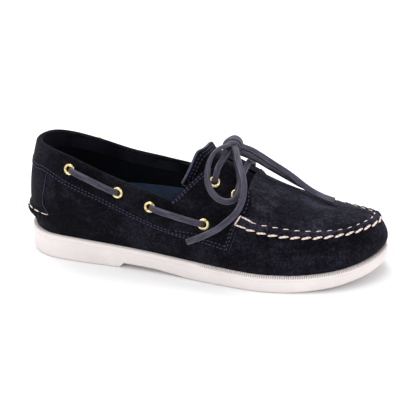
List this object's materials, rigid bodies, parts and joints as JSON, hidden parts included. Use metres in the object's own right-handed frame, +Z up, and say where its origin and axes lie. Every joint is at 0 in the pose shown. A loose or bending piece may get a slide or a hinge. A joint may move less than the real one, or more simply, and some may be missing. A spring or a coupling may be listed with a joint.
{
  "type": "boat shoe",
  "caption": "Right boat shoe in dark suede with a hand-sewn moccasin toe, laced collar, tied bow and a pale rubber outsole.",
  "frame": {"origin": "on the floor under the middle of the shoe", "axes": "+X towards the toe, +Y towards the inner side of the foot, +Z up"},
  "size_m": [0.3, 0.1075, 0.1044],
  "materials": {
    "suede": "matte napped suede, very dark navy",
    "sole_rubber": "matte off-white rubber",
    "footbed": "matte blue",
    "brass_ring": "polished",
    "rawhide_lace": "waxed matte"
  },
  "bodies": {
    "root": {"outsole": "sole_rubber", "upper": "suede", "insole": "footbed", "tongue": "suede", "eyelet_collar_1_outer": "brass_ring", "eyelet_collar_2_outer": "brass_ring", "eyelet_collar_3_outer": "brass_ring", "eyelet_collar_4_outer": "brass_ring", "eyelet_throat_1_outer": "brass_ring", "eyelet_throat_2_outer": "brass_ring", "eyelet_collar_1_inner": "brass_ring", "eyelet_collar_2_inner": "brass_ring", "eyelet_collar_3_inner": "brass_ring", "eyelet_collar_4_inner": "brass_ring", "eyelet_throat_1_inner": "brass_ring", "eyelet_throat_2_inner": "brass_ring", "side_lace_rear_outer": "rawhide_lace", "side_lace_front_outer": "rawhide_lace", "throat_lace_leg_outer": "rawhide_lace", "side_lace_rear_inner": "rawhide_lace", "side_lace_front_inner": "rawhide_lace", "throat_lace_leg_inner": "rawhide_lace", "throat_lace_crossing": "rawhide_lace", "lace_knot": "rawhide_lace", "lace_loop_outer": "rawhide_lace", "lace_loop_inner": "rawhide_lace", "lace_end_outer": "rawhide_lace", "lace_end_inner": "rawhide_lace"}
  },
  "joints": []
}
